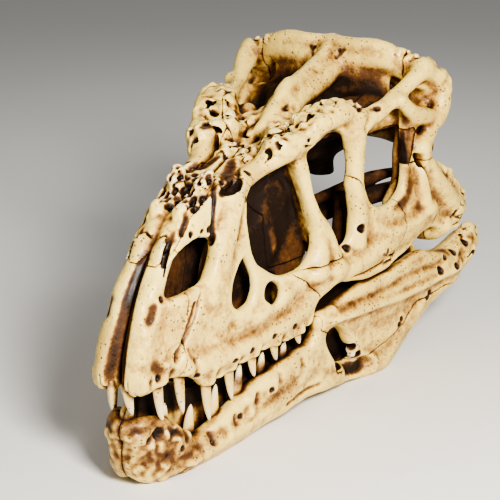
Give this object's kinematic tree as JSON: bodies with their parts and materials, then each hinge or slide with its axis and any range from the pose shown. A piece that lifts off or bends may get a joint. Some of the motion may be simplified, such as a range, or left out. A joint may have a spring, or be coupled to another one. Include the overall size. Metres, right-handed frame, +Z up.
{
  "type": "dinosaur skull fossil",
  "caption": "Life-size skull of a large meat-eating dinosaur, jaws closed, with open windows in the cheek and roof, resting on its lower jaw.",
  "frame": {"origin": "on the floor, under the middle of the skull's box", "axes": "+X from the snout to the back of the skull, +Y to the animal's right, +Z up"},
  "size_m": [1.3174, 0.711, 0.8183],
  "materials": {
    "outer_bone": "ivory bone with brown in its hollows, satin to glossy",
    "toothed_bone": "ivory bone and tooth enamel, brown between the teeth, glossy",
    "inner_bone": "dark brown bone of the inside of the skull, satin"
  },
  "bodies": {
    "root": {"nasal": "outer_bone", "frontoparietal": "outer_bone", "braincase": "inner_bone", "vomer": "inner_bone", "premaxilla_l": "toothed_bone", "premaxilla_r": "toothed_bone", "maxilla_l": "toothed_bone", "maxilla_r": "toothed_bone", "lacrimal_l": "outer_bone", "lacrimal_r": "outer_bone", "jugal_l": "outer_bone", "jugal_r": "outer_bone", "postorbital_l": "outer_bone", "postorbital_r": "outer_bone", "squamosal_l": "outer_bone", "squamosal_r": "outer_bone", "quadratojugal_l": "outer_bone", "quadratojugal_r": "outer_bone", "quadrate_l": "inner_bone", "quadrate_r": "inner_bone", "pterygoid_l": "inner_bone", "pterygoid_r": "inner_bone", "dentary_l": "toothed_bone", "dentary_r": "toothed_bone", "angular_l": "outer_bone", "angular_r": "outer_bone", "surangular_l": "outer_bone", "surangular_r": "outer_bone"}
  },
  "joints": []
}
